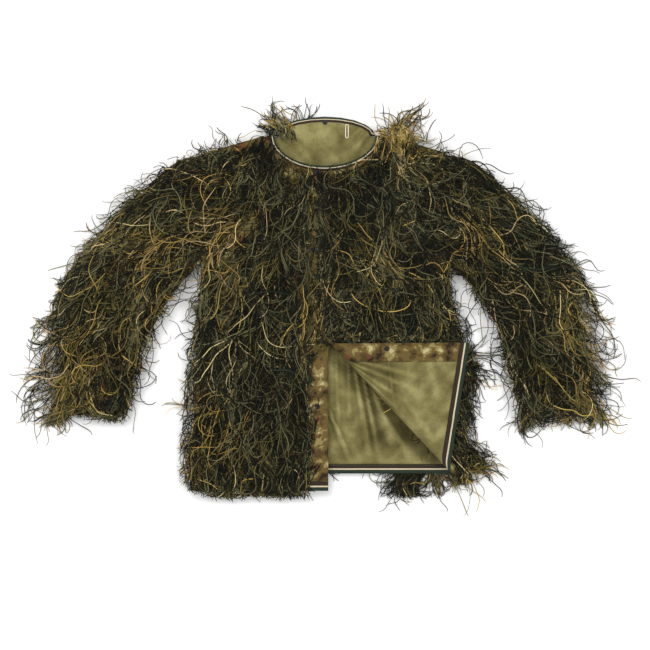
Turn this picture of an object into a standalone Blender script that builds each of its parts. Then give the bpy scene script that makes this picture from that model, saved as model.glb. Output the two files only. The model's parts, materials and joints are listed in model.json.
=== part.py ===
"""Ghillie jacket, laid flat on its back, with one front corner turned over.

The jacket is a camouflage cloth shell with a khaki lining, bound edges and a
snap-fastened front, covered outside with sewn yarn.  +Y runs to the collar,
+X to the wearer's left and +Z away from the surface that it lies on.  Each
sewn piece is its own flat solid, and the pieces are stacked upwards from the
yarn under the back.  The wearer's left front overlaps the right one; its lower
corner hinges about the fold, and each sleeve swings about its armhole.
"""

import math

import bmesh
import bpy
from mathutils import Vector

# Cloth and clearances, in metres
SHELL = 0.0009
LINING = 0.0007
SEAM_GAP = 0.0003
ARMHOLE_GAP = 0.0012

# Body panels, in plan
CHEST_HALF = 0.262
HEM_HALF = 0.285
NECK_HALF = 0.108
NECK_CORNER_Y = 0.366
BACK_NECK_RISE = 0.042
FRONT_NECK_DROP = 0.065
RIGHT_HEM_Y = -0.393
BACK_HEM_Y = -0.357
ARMHOLE_R = 0.112
ARMHOLE_Y = 0.212

# Sleeves: length from the armhole's centre, and heading outwards from -Y
SLEEVE_LENGTH = 0.505
SHOULDER_HEADING = math.radians(53)
CUFF_HEADING = math.radians(8)
CUFF_OUTER = 0.080
CUFF_INNER = 0.066
SLEEVE_DEPTH = 0.020
SLEEVE_STATIONS = 9
CUFF_STRAIGHT = 0.050

# Front closure
SNAP_X = -0.016
PLACKET_INSET = 0.023
PLACKET_WIDTH = 0.046
FACING_INSET = 0.012
FACING_WIDTH = 0.040
LOWEST_SNAP_Y = -0.213
SNAP_PITCH = 0.1663
SNAP_COUNT = 4

# Bindings, tapes and hanger
NECK_BINDING = 0.011
HEM_BINDING = 0.020
TAPE_THICKNESS = 0.0015
HANGER_X = 0.047
HANGER_LENGTH = 0.030
HANGER_WIDTH = 0.008
HANGER_CORD = 0.0022
HOOD_SNAP_INSET = 0.012

# Yarn layers
BACK_YARN = 0.010
FRONT_YARN = 0.022
PRESSED_YARN = 0.009
YARN_RIM = 0.012
YARN_SETBACK = 0.022
TOP_FRINGE_Y = 0.425
HEM_FRINGE_Y = -0.425
BACK_FRINGE = 0.050
FRONT_FRINGE = 0.022
SLEEVE_OUTER_FRINGE = 0.066
SLEEVE_INNER_FRINGE = 0.022
CUFF_FRINGE = 0.035

# Space inside the jacket as it lies
CAVITY = 0.014

# Turned-over corner, as it lies; the hinge runs along its fold
FOLD_START = Vector((-0.005, -0.078))
FOLD_ANGLE = math.radians(-47)
CORNER_TIP = Vector((0.307, -0.076))
CORNER_HEM_LEAN = math.radians(-99)
CORNER_SNAP_ALONG = 0.136

# Snap fasteners
CAP_R = 0.0073
CAP_H = 0.0022
CAP_POST_R = 0.0014
SOCKET_R = 0.0055
SOCKET_H = 0.0026
SOCKET_PLATE = 0.0007
STUD_FLANGE_R = 0.0055
STUD_FLANGE_H = 0.0006
STUD_KNOB_R = 0.0023
STUD_KNOB_H = 0.0022
POST_FLANGE_R = 0.0048
POST_FLANGE_H = 0.0006
POST_STEM_R = 0.0009
FIT = 0.0004

ARC_STEP = math.radians(15)
LATHE_STEPS = 16

# Heights of the stacked layers, upwards from the yarn under the back
back_shell_low = BACK_YARN + SEAM_GAP
back_lining_low = back_shell_low + SHELL + SEAM_GAP
back_lining_top = back_lining_low + LINING
right_lining_low = back_lining_top + CAVITY
right_shell_low = right_lining_low + LINING + SEAM_GAP
placket_low = right_shell_low + SHELL + SEAM_GAP
placket_top = placket_low + SHELL
snap_stand = 3 * SEAM_GAP + STUD_FLANGE_H + STUD_KNOB_H + SOCKET_PLATE
left_lining_low = placket_top + snap_stand
left_shell_low = left_lining_low + LINING + SEAM_GAP
left_shell_top = left_shell_low + SHELL
pressed_top = left_shell_top + SEAM_GAP + PRESSED_YARN
fold_height = pressed_top + SEAM_GAP

right_edge_x = SNAP_X + PLACKET_INSET
placket_edge_x = right_edge_x - PLACKET_WIDTH
left_edge_x = SNAP_X - FACING_INSET
facing_edge_x = left_edge_x + FACING_WIDTH
snap_heights = [LOWEST_SNAP_Y + i * SNAP_PITCH for i in range(SNAP_COUNT)]

fold_run = Vector((math.cos(FOLD_ANGLE), math.sin(FOLD_ANGLE)))
corner_hem_run = Vector((math.cos(CORNER_HEM_LEAN), math.sin(CORNER_HEM_LEAN)))


def finish(name, colour, roughness, metallic=0.0):
    material = bpy.data.materials.new(name)
    material.use_nodes = True
    shader = material.node_tree.nodes["Principled BSDF"]
    shader.inputs["Base Color"].default_value = (*colour, 1.0)
    shader.inputs["Roughness"].default_value = roughness
    shader.inputs["Metallic"].default_value = metallic
    return material


def mesh_object(name, bm, material):
    bmesh.ops.remove_doubles(bm, verts=bm.verts, dist=1e-6)
    bmesh.ops.recalc_face_normals(bm, faces=bm.faces)
    mesh = bpy.data.meshes.new(name)
    bm.to_mesh(mesh)
    bm.free()
    mesh.materials.append(material)
    piece = bpy.data.objects.new(name, mesh)
    bpy.context.collection.objects.link(piece)
    return piece


def prism(name, outline, low, high, material):
    """A flat cloth piece: the outline, extruded from low to high."""
    bm = bmesh.new()
    base = bm.faces.new([bm.verts.new((x, y, low)) for x, y in outline])
    walls = bmesh.ops.extrude_face_region(bm, geom=[base])
    top = [v for v in walls["geom"] if isinstance(v, bmesh.types.BMVert)]
    bmesh.ops.translate(bm, verts=top, vec=(0, 0, high - low))
    return mesh_object(name, bm, material)


def yarn_slab(name, outline, low, high, rim_low, rim_high, material):
    """A layer of yarn: the outline, with the edge rounded off on the side that is free."""
    bm = bmesh.new()
    base = bm.faces.new([bm.verts.new((x, y, low + rim_low)) for x, y in outline])
    walls = bmesh.ops.extrude_face_region(bm, geom=[base])
    top = [f for f in walls["geom"] if isinstance(f, bmesh.types.BMFace)][0]
    bmesh.ops.translate(bm, verts=top.verts, vec=(0, 0, high - rim_high - low - rim_low))
    for face, rim in ((base, -rim_low), (top, rim_high)):
        if rim:
            bmesh.ops.inset_region(bm, faces=[face], thickness=YARN_RIM, use_even_offset=True)
            bmesh.ops.translate(bm, verts=face.verts, vec=(0, 0, rim))
    return mesh_object(name, bm, material)


def turned(name, profile, x, y, foot, way, material):
    """A turned metal piece; profile points are (radius, height above the foot)."""
    bm = bmesh.new()
    ring = [bm.verts.new((x + r, y, foot + way * h)) for r, h in profile]
    closed = profile[0][0] > 0
    pairs = list(zip(ring, ring[1:])) + ([(ring[-1], ring[0])] if closed else [])
    edges = [bm.edges.new(pair) for pair in pairs]
    bmesh.ops.spin(bm, geom=ring + edges, cent=(x, y, 0), axis=(0, 0, 1),
                   angle=2 * math.pi, steps=LATHE_STEPS, use_merge=True)
    piece = mesh_object(name, bm, material)
    piece.data.shade_smooth()
    piece.data.set_sharp_from_angle(angle=math.radians(35))
    return piece


def cut(piece, cutter):
    modifier = piece.modifiers.new("cut", "BOOLEAN")
    modifier.object = cutter
    modifier.solver = "EXACT"
    cutter.hide_render = True
    cutter.display_type = "WIRE"


def tube(name, outer, inner, low, high, wall, material):
    """A flattened cloth tube, open where the inner outline runs past the outer one."""
    piece = prism(name, outer, low, high, material)
    cut(piece, prism(name + "_bore", inner, low + wall, high - wall, material))
    return piece


def arc(centre, radius, start, end):
    steps = max(2, round(abs(end - start) / ARC_STEP))
    angles = [start + (end - start) * i / steps for i in range(steps + 1)]
    return [Vector((centre[0] + radius * math.cos(a), centre[1] + radius * math.sin(a))) for a in angles]


def clip(outline, point, keep):
    """The part of an outline on the side of a line that the vector keep points to."""
    kept = []
    for a, b in zip(outline, outline[1:] + outline[:1]):
        da, db = (a - point).dot(keep), (b - point).dot(keep)
        if da >= 0:
            kept.append(a)
        if da * db < 0:
            kept.append(a.lerp(b, da / (da - db)))
    return kept


def on_side(outline, side):
    """An outline drawn for the wearer's left, mirrored for the right when side is -1."""
    return outline if side > 0 else [Vector((-p.x, p.y)) for p in reversed(outline)]


def neck_y(x, drop, inset):
    """The neckline at x; drop and inset are negative for the back, which rises between its corners."""
    reach = NECK_HALF + inset
    depth = abs(drop) + inset
    return NECK_CORNER_Y - math.copysign(depth * math.sqrt(max(0.0, 1 - (x / reach) ** 2)), drop)


def neck_curve(from_x, to_x, drop, inset, steps=10):
    xs = [from_x + (to_x - from_x) * 0.5 * (1 - math.cos(math.pi * i / steps)) for i in range(steps + 1)]
    return [Vector((x, neck_y(x, drop, inset))) for x in xs]


def armhole_and_shoulder(neck_inset):
    """From the underarm round the armhole to the shoulder tip and the neck corner."""
    curve = arc((CHEST_HALF, ARMHOLE_Y), ARMHOLE_R + ARMHOLE_GAP, math.radians(270), math.radians(90))
    return curve + [Vector((NECK_HALF + neck_inset, NECK_CORNER_Y))]


def side_x(y):
    """The side seam at a height: straight from the underarm, flaring to the hem."""
    underarm_y = ARMHOLE_Y - ARMHOLE_R - ARMHOLE_GAP
    return CHEST_HALF + (HEM_HALF - CHEST_HALF) * (underarm_y - y) / (underarm_y - BACK_HEM_Y)


def front_outline(side, edge_x, hem_y, neck_inset, fringe=0.0):
    """A front panel from its edge round to the neck; edge_x is in the wearer's-left frame."""
    lower = [Vector((edge_x, hem_y)), Vector((side_x(hem_y) + fringe * 0.7, hem_y))]
    if fringe:
        lower += [Vector((side_x(hem_y * 0.75) + fringe, hem_y * 0.75)), Vector((side_x(0) + fringe * 0.5, 0))]
    neck = neck_curve(NECK_HALF + neck_inset, edge_x, FRONT_NECK_DROP, neck_inset)
    return on_side(lower + armhole_and_shoulder(neck_inset) + neck[1:], side)


def back_outline(hem_y, neck_inset):
    half = [Vector((side_x(hem_y), hem_y))] + armhole_and_shoulder(-neck_inset)
    neck = neck_curve(NECK_HALF - neck_inset, neck_inset - NECK_HALF, -BACK_NECK_RISE, -neck_inset)
    return half + neck[1:-1] + on_side(half, -1)


def back_yarn_outline():
    half = [Vector((HEM_HALF - 0.03, HEM_FRINGE_Y)), Vector((HEM_HALF + BACK_FRINGE * 0.8, HEM_FRINGE_Y * 0.9)),
            Vector((HEM_HALF + BACK_FRINGE, HEM_FRINGE_Y * 0.6)),
            Vector((CHEST_HALF + BACK_FRINGE * 0.7, HEM_FRINGE_Y * 0.2))]
    half += armhole_and_shoulder(0)[:-1]
    half += [Vector((NECK_HALF + 0.09, NECK_CORNER_Y + 0.012)), Vector((NECK_HALF, TOP_FRINGE_Y))]
    return half + on_side(half, -1)


def sleeve_heading(distance):
    """The sleeve bends down evenly to its last stretch, which is straight."""
    bend = min(1.0, distance / (SLEEVE_LENGTH - CUFF_STRAIGHT))
    return SHOULDER_HEADING + (CUFF_HEADING - SHOULDER_HEADING) * bend


def sleeve_station(distance):
    """Centre and outward direction at a distance from the armhole, for the wearer's left."""
    steps = 80
    centre = Vector((CHEST_HALF, ARMHOLE_Y))
    for i in range(steps):
        heading = sleeve_heading(distance * (i + 0.5) / steps)
        centre += Vector((math.sin(heading), -math.cos(heading))) * distance / steps
    heading = sleeve_heading(distance)
    return centre, Vector((math.cos(heading), math.sin(heading)))


def sleeve_edges(start, end, inset, outer_fringe=0.0, inner_fringe=0.0):
    """Outer and inner edge points from start to end along the sleeve, at the same stations for every layer."""
    outer, inner = [], []
    bent = SLEEVE_LENGTH - CUFF_STRAIGHT
    shared = [bent * (i + 1) / SLEEVE_STATIONS for i in range(SLEEVE_STATIONS)]
    for s in [start] + [s for s in shared if start < s < end] + [end]:
        t = s / SLEEVE_LENGTH
        centre, out = sleeve_station(s)
        spread = min(1.0, max(0.0, (t - 0.16) / 0.6)) ** 0.7
        outer_half = ARMHOLE_R + (CUFF_OUTER - ARMHOLE_R) * t + outer_fringe * spread
        inner_half = ARMHOLE_R * math.sin(SHOULDER_HEADING) * (1 - t) + CUFF_INNER * t + inner_fringe * spread
        outer.append(centre + out * (outer_half - inset))
        inner.append(centre - out * (inner_half - inset))
    return outer, inner


def sleeve_outline(end, inset=0.0, reach=0.0, outer_fringe=0.0, inner_fringe=0.0):
    """A sleeve from its round head to its end; reach carries a bore past the head."""
    centre = Vector((CHEST_HALF, ARMHOLE_Y))
    outer, inner = sleeve_edges(0.0, end, inset, outer_fringe, inner_fringe)
    inner = [p for p in inner if (p - centre).length > ARMHOLE_R + 0.004]
    cap = arc(centre, ARMHOLE_R - inset, SHOULDER_HEADING, math.radians(90))
    head = arc(centre, ARMHOLE_R + reach, math.radians(90), math.radians(270))
    underarm = centre - Vector((0, ARMHOLE_R))
    if inset:
        foot = underarm + Vector((math.cos(SHOULDER_HEADING), math.sin(SHOULDER_HEADING))) * inset
        inner.insert(0, foot)
    if not reach:
        head = head[1:-1] if inset else head[1:]
    return inner + list(reversed(outer[1:])) + cap + head


def band(start, end, inset):
    """A short length of sleeve between two distances, for the cuff binding."""
    outer, inner = sleeve_edges(start, end, inset)
    return inner + list(reversed(outer))


def strip_along(points, near, far):
    """A strip between two distances to the right of a run of points."""
    near_side, far_side = [], []
    for i, p in enumerate(points):
        run = (points[min(i + 1, len(points) - 1)] - points[max(i - 1, 0)]).normalized()
        right = Vector((run.y, -run.x))
        near_side.append(p + right * near)
        far_side.append(p + right * far)
    return near_side + list(reversed(far_side))


def snap_cutter(name, places, low, high, radius):
    """Round cutters for the holes that snap posts pass through."""
    bm = bmesh.new()
    for x, y in places:
        ends = bmesh.ops.create_cone(bm, cap_ends=True, segments=12, radius1=radius, radius2=radius,
                                     depth=high - low)
        bmesh.ops.translate(bm, verts=ends["verts"], vec=(x, y, (low + high) / 2))
    cutter = mesh_object(name, bm, black)
    cutter.hide_render = True
    cutter.display_type = "WIRE"
    return cutter


def snap_cap(name, x, y, seat, way, reach):
    dome = [(CAP_R * math.sin(math.radians(a)), CAP_H * (0.35 + 0.65 * math.cos(math.radians(a))))
            for a in (0, 30, 60, 90)]
    profile = dome + [(CAP_R, 0), (CAP_POST_R, 0), (CAP_POST_R, -reach), (0, -reach)]
    return turned(name, profile, x, y, seat, way, black)


def snap_socket(name, x, y, seat, way):
    bore = STUD_KNOB_R + FIT
    hole = CAP_POST_R + FIT
    profile = [(hole, 0), (SOCKET_R, 0), (SOCKET_R, -SOCKET_H), (bore, -SOCKET_H),
               (bore, -SOCKET_PLATE), (hole, -SOCKET_PLATE)]
    return turned(name, profile, x, y, seat, way, black)


def snap_stud(name, x, y, seat, way=1):
    hole = POST_STEM_R + FIT
    top = STUD_FLANGE_H + STUD_KNOB_H
    profile = [(hole, 0), (STUD_FLANGE_R, 0), (STUD_FLANGE_R, STUD_FLANGE_H),
               (STUD_KNOB_R, STUD_FLANGE_H), (STUD_KNOB_R, top), (hole, top)]
    return turned(name, profile, x, y, seat, way, black)


def snap_post(name, x, y, seat, reach, way=1):
    profile = [(0, -POST_FLANGE_H), (POST_FLANGE_R, -POST_FLANGE_H), (POST_FLANGE_R, 0),
               (POST_STEM_R, 0), (POST_STEM_R, reach), (0, reach)]
    return turned(name, profile, x, y, seat, way, black)


def parent_to(empty_name, location, pieces):
    """Hangs pieces on an empty that stands on their joint's axis."""
    empty = bpy.data.objects.new(empty_name, None)
    empty.location = location
    bpy.context.collection.objects.link(empty)
    bpy.context.view_layer.update()
    for piece in pieces:
        piece.parent = empty
        piece.matrix_parent_inverse = empty.matrix_world.inverted()


def turned_over(height):
    """The height of a level of the front once its corner is folded back."""
    return 2 * fold_height - height


for startup_object in list(bpy.data.objects):
    bpy.data.objects.remove(startup_object)

camouflage = finish("camouflage_cloth", (0.25, 0.19, 0.09), 0.9)
khaki = finish("khaki_lining", (0.33, 0.30, 0.16), 0.75)
yarn = finish("dyed_yarn", (0.05, 0.055, 0.025), 0.95)
tape = finish("striped_binding", (0.10, 0.11, 0.07), 0.85)
black = finish("black_snap", (0.015, 0.015, 0.018), 0.35, 0.6)
cord = finish("cream_cord", (0.55, 0.50, 0.38), 0.9)

# ---- Back panel, with the yarn that it lies on
cloth_back = back_outline(BACK_HEM_Y + HEM_BINDING + SEAM_GAP, NECK_BINDING + SEAM_GAP)
back_shell = prism("back_shell", cloth_back, back_shell_low, back_shell_low + SHELL, camouflage)
back_lining = prism("back_lining", cloth_back, back_lining_low, back_lining_top, khaki)
back_yarn = yarn_slab("back_yarn_layer", back_yarn_outline(), 0, BACK_YARN, 0, 0.003, yarn)

hem_strip = clip(back_outline(BACK_HEM_Y, NECK_BINDING), Vector((0, BACK_HEM_Y + HEM_BINDING)), Vector((0, -1)))
prism("back_hem_binding", hem_strip, back_shell_low, back_lining_top, tape)

neck_outer = neck_curve(NECK_HALF, -NECK_HALF, -BACK_NECK_RISE, 0)
neck_inner = neck_curve(NECK_HALF - NECK_BINDING, NECK_BINDING - NECK_HALF, -BACK_NECK_RISE, -NECK_BINDING)
prism("back_neck_binding", neck_outer + list(reversed(neck_inner)), back_shell_low, back_lining_top, tape)

# ---- Right front, which lies underneath, with its placket band
right_cloth = front_outline(-1, -right_edge_x, RIGHT_HEM_Y + HEM_BINDING + SEAM_GAP, NECK_BINDING + SEAM_GAP)
placket_line = Vector((placket_edge_x, 0))
gap_line = Vector((placket_edge_x - SEAM_GAP, 0))
right_shell = prism("right_front_shell", right_cloth, right_shell_low, right_shell_low + SHELL, camouflage)
prism("right_front_lining", clip(right_cloth, gap_line, Vector((-1, 0))),
      right_lining_low, right_lining_low + LINING, khaki)
placket = prism("right_front_placket", clip(right_cloth, placket_line, Vector((1, 0))),
                placket_low, placket_top, camouflage)

right_full = front_outline(-1, -right_edge_x, RIGHT_HEM_Y, NECK_BINDING)
prism("right_hem_binding", clip(right_full, Vector((0, RIGHT_HEM_Y + HEM_BINDING)), Vector((0, -1))),
      right_lining_low, right_shell_low + SHELL, tape)
yarn_edge_x = placket_edge_x - SEAM_GAP * 4
right_yarn = front_outline(-1, -yarn_edge_x, HEM_FRINGE_Y + 0.008, NECK_BINDING, FRONT_FRINGE)
right_yarn_low = right_shell_low + SHELL + SEAM_GAP
yarn_slab("right_front_yarn_layer", right_yarn, right_yarn_low, right_yarn_low + FRONT_YARN, 0, 0.006, yarn)

# ---- Left front, above the fold, with its facing
left_panel = front_outline(1, left_edge_x, BACK_HEM_Y, NECK_BINDING + SEAM_GAP)
above_fold = Vector((-fold_run.y, fold_run.x))
below_edge = [p for p in left_panel if p.y > FOLD_START.y]
left_hem_corner = Vector((HEM_HALF, BACK_HEM_Y))
fold_end_reach = (BACK_HEM_Y - FOLD_START.y) / fold_run.y
fold_end = FOLD_START + fold_run * fold_end_reach
fold_hem = min((fold_end, left_hem_corner - Vector((0.004, 0))), key=lambda p: p.x)
left_cloth = [Vector((left_edge_x, FOLD_START.y)), FOLD_START, fold_hem, left_hem_corner] + below_edge
facing_line = Vector((facing_edge_x, 0))
left_shell = prism("left_front_shell", left_cloth, left_shell_low, left_shell_top, camouflage)
left_facing = prism("left_front_facing", clip(left_cloth, facing_line, Vector((-1, 0))),
                    left_lining_low, left_lining_low + LINING, camouflage)
prism("left_front_lining", clip(left_cloth, facing_line + Vector((SEAM_GAP, 0)), Vector((1, 0))),
      left_lining_low, left_lining_low + LINING, khaki)

left_yarn_low = left_shell_top + SEAM_GAP
left_yarn = front_outline(1, left_edge_x + YARN_SETBACK, BACK_HEM_Y, NECK_BINDING, FRONT_FRINGE)
upper_yarn = clip(left_yarn, Vector((0, FOLD_START.y + YARN_RIM)), Vector((0, 1)))
yarn_slab("left_front_yarn_layer", upper_yarn, left_yarn_low, left_yarn_low + FRONT_YARN, 0, 0.006, yarn)
lower_yarn = clip(left_yarn, Vector((0, FOLD_START.y + YARN_RIM - SEAM_GAP)), Vector((0, -1)))
lower_yarn = clip(lower_yarn, FOLD_START + above_fold * YARN_RIM, above_fold)
prism("left_front_pressed_yarn", lower_yarn, left_yarn_low, pressed_top, yarn)

# ---- Neck bindings of the two fronts
for name, side, edge_x, low, high in (
    ("right_neck_binding", -1, -right_edge_x, right_lining_low, right_shell_low + SHELL),
    ("left_neck_binding", 1, left_edge_x, left_lining_low, left_shell_top),
):
    inner_run = neck_curve(NECK_HALF + NECK_BINDING, edge_x, FRONT_NECK_DROP, NECK_BINDING)
    outer_run = neck_curve(NECK_HALF, edge_x, FRONT_NECK_DROP, 0)
    prism(name, on_side(inner_run + list(reversed(outer_run)), side), low, high, tape)

# ---- Side and shoulder seam tapes, which join the fronts to the back
for side, word, top in ((-1, "right", right_shell_low + SHELL), (1, "left", left_shell_top)):
    underarm = Vector((CHEST_HALF, ARMHOLE_Y - ARMHOLE_R - ARMHOLE_GAP))
    hem_point = Vector((HEM_HALF, BACK_HEM_Y))
    down = (hem_point - underarm).normalized()
    seam = [hem_point - down * HEM_BINDING, underarm + down * NECK_BINDING]
    outline = strip_along(seam, SEAM_GAP * 2, SEAM_GAP * 2 + TAPE_THICKNESS)
    prism(f"{word}_side_seam", on_side(outline, side), back_shell_low, top, tape)
    shoulder = [Vector((CHEST_HALF, ARMHOLE_Y + ARMHOLE_R)), Vector((NECK_HALF + NECK_BINDING, NECK_CORNER_Y))]
    across = (shoulder[1] - shoulder[0]).normalized()
    shoulder = [shoulder[0] + across * NECK_BINDING, shoulder[1] - across * NECK_BINDING]
    outline = strip_along(shoulder, SEAM_GAP * 5, SEAM_GAP * 5 + TAPE_THICKNESS)
    prism(f"{word}_shoulder_seam", on_side(outline, side), back_shell_low, top, tape)

# ---- Turned-over corner of the left front, lining upwards
corner_hem_end = CORNER_TIP + corner_hem_run * (
    (FOLD_START - CORNER_TIP).dot(above_fold) / corner_hem_run.dot(above_fold))
corner = [FOLD_START, corner_hem_end, CORNER_TIP]
corner = clip(corner, FOLD_START + above_fold * SEAM_GAP, above_fold)
inward = Vector((corner_hem_run.y, -corner_hem_run.x))
edge_run = (CORNER_TIP - FOLD_START).normalized()
edge_in = Vector((edge_run.y, -edge_run.x))
hem_line = CORNER_TIP + inward * HEM_BINDING
corner_cloth = clip(corner, hem_line + inward * SEAM_GAP, inward)
corner_shell = prism("corner_shell", corner_cloth, turned_over(left_shell_top), turned_over(left_shell_low), camouflage)
corner_facing = prism("corner_facing", clip(corner_cloth, CORNER_TIP + edge_in * FACING_WIDTH, -edge_in),
                      turned_over(left_lining_low + LINING), turned_over(left_lining_low), camouflage)
corner_lining = prism("corner_lining", clip(corner_cloth, CORNER_TIP + edge_in * (FACING_WIDTH + SEAM_GAP), edge_in),
                      turned_over(left_lining_low + LINING), turned_over(left_lining_low), khaki)
corner_binding = prism("corner_hem_binding", clip(corner, hem_line, -inward),
                       turned_over(left_shell_top), turned_over(left_lining_low), tape)
corner_yarn_outline = clip(corner, CORNER_TIP + edge_in * YARN_SETBACK, edge_in)
corner_yarn_outline = clip(corner_yarn_outline, hem_line, inward)
corner_yarn_outline = clip(corner_yarn_outline, FOLD_START + above_fold * YARN_RIM, above_fold)
corner_yarn = prism("corner_yarn_layer", corner_yarn_outline, fold_height,
                    turned_over(left_shell_top + SEAM_GAP), yarn)

# ---- Front snaps: cap and socket on the left front, stud and post on the right
snap_hole = CAP_POST_R + FIT
post_reach = SHELL * 2 + SEAM_GAP * 3 + STUD_FLANGE_H
cap_reach = SHELL + LINING + SEAM_GAP * 3 + SOCKET_PLATE
corner_snap = FOLD_START + edge_run * CORNER_SNAP_ALONG + edge_in * FACING_INSET
stud_seat = placket_top + SEAM_GAP
front_cutter = snap_cutter("snap_holes_right", [(SNAP_X, y) for y in snap_heights],
                           right_shell_low - SHELL, placket_top + SHELL, POST_STEM_R + FIT)
cut(right_shell, front_cutter)
cut(placket, front_cutter)
left_cutter = snap_cutter("snap_holes_left", [(SNAP_X, y) for y in snap_heights[1:]],
                          left_lining_low - SHELL, left_shell_top + SHELL, snap_hole)
cut(left_shell, left_cutter)
cut(left_facing, left_cutter)
corner_cutter = snap_cutter("snap_hole_corner", [corner_snap], turned_over(left_shell_top) - SHELL,
                            turned_over(left_lining_low) + SHELL, snap_hole)
cut(corner_shell, corner_cutter)
cut(corner_facing, corner_cutter)
for number, y in enumerate(snap_heights, 1):
    snap_stud(f"snap_stud_{number}", SNAP_X, y, stud_seat)
    snap_post(f"snap_post_{number}", SNAP_X, y, right_shell_low - SEAM_GAP, post_reach)
    if number > 1:
        snap_cap(f"snap_cap_{number}", SNAP_X, y, left_shell_top + SEAM_GAP, 1, cap_reach)
        snap_socket(f"snap_socket_{number}", SNAP_X, y, left_lining_low - SEAM_GAP, 1)
corner_cap = snap_cap("snap_cap_1", *corner_snap, turned_over(left_shell_top + SEAM_GAP), -1, cap_reach)
corner_socket = snap_socket("snap_socket_1", *corner_snap, turned_over(left_lining_low - SEAM_GAP), -1)

# ---- Hanger loop and the three hood snaps round the neck
hanger_y = NECK_CORNER_Y + BACK_NECK_RISE * 0.25
loop_outer = [Vector((HANGER_X + dx * HANGER_WIDTH / 2, hanger_y + dy * HANGER_LENGTH / 2))
              for dx, dy in ((-1, -0.8), (-0.6, -1), (0.6, -1), (1, -0.8), (1, 0.8), (0.6, 1), (-0.6, 1), (-1, 0.8))]
slot = [Vector((HANGER_X + dx * (HANGER_WIDTH / 2 - HANGER_CORD), hanger_y + dy * (HANGER_LENGTH / 2 - HANGER_CORD)))
        for dx, dy in ((-1, -1), (1, -1), (1, 1), (-1, 1))]
hanger = prism("hanger_loop", loop_outer, back_lining_top + SEAM_GAP,
               back_lining_top + SEAM_GAP + HANGER_CORD, cord)
cut(hanger, prism("hanger_slot", slot, back_lining_top, back_lining_top + SEAM_GAP * 2 + HANGER_CORD, cord))

hood_y = neck_y(0, -BACK_NECK_RISE, 0) - HOOD_SNAP_INSET
stud_reach = SHELL + LINING + SEAM_GAP * 2 + STUD_FLANGE_H
back_hole = snap_cutter("hood_hole_back", [(0, hood_y)], 0, back_lining_top + SHELL, POST_STEM_R + FIT)
cut(back_shell, back_hole)
cut(back_lining, back_hole)
cut(back_yarn, snap_cutter("hood_pocket", [(0, hood_y)], BACK_YARN - POST_FLANGE_H * 2, BACK_YARN + SHELL / 3,
                           POST_FLANGE_R + FIT))
snap_stud("hood_stud_back", 0, hood_y, back_lining_top + SEAM_GAP)
snap_post("hood_post_back", 0, hood_y, back_shell_low - SEAM_GAP, stud_reach)

# ---- Sleeves
for side, word in ((-1, "right"), (1, "left")):
    low, high = back_shell_low, back_shell_low + SLEEVE_DEPTH
    cloth_end = SLEEVE_LENGTH - HEM_BINDING - SEAM_GAP
    inner_skin = SHELL + SEAM_GAP
    pieces = [
        tube(f"{word}_sleeve_shell", on_side(sleeve_outline(cloth_end), side),
             on_side(sleeve_outline(SLEEVE_LENGTH + HEM_BINDING, SHELL, HEM_BINDING), side),
             low, high, SHELL, camouflage),
        tube(f"{word}_sleeve_lining", on_side(sleeve_outline(cloth_end, inner_skin), side),
             on_side(sleeve_outline(SLEEVE_LENGTH + HEM_BINDING, inner_skin + LINING, HEM_BINDING), side),
             low + inner_skin, high - inner_skin, LINING, khaki),
        tube(f"{word}_cuff_binding", on_side(band(SLEEVE_LENGTH - HEM_BINDING, SLEEVE_LENGTH, 0), side),
             on_side(band(SLEEVE_LENGTH - 2 * HEM_BINDING, SLEEVE_LENGTH + HEM_BINDING, SHELL + LINING), side),
             low, high, SHELL + LINING, tape),
    ]
    yarn_outline = on_side(sleeve_outline(SLEEVE_LENGTH + CUFF_FRINGE, 0, 0, SLEEVE_OUTER_FRINGE,
                                          SLEEVE_INNER_FRINGE), side)
    pieces.append(yarn_slab(f"{word}_sleeve_lower_yarn", yarn_outline, 0, BACK_YARN, 0, 0.003, yarn))
    pieces.append(yarn_slab(f"{word}_sleeve_upper_yarn", yarn_outline, high + SEAM_GAP,
                            high + SEAM_GAP + FRONT_YARN, 0, 0.006, yarn))
    parent_to(f"{word}_sleeve_axis", (side * CHEST_HALF, ARMHOLE_Y, low), pieces)

parent_to("corner_fold_axis", (FOLD_START.x, FOLD_START.y, fold_height),
          [corner_shell, corner_facing, corner_lining, corner_binding, corner_yarn, corner_cap, corner_socket])
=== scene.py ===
"""Ghillie jacket lying on its back: cloth, bindings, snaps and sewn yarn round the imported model."""
import json
import math

import bmesh
import bpy
import numpy as np
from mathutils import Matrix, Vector
from mathutils.bvhtree import BVHTree
from mathutils.geometry import delaunay_2d_cdt
from mathutils.kdtree import KDTree


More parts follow.
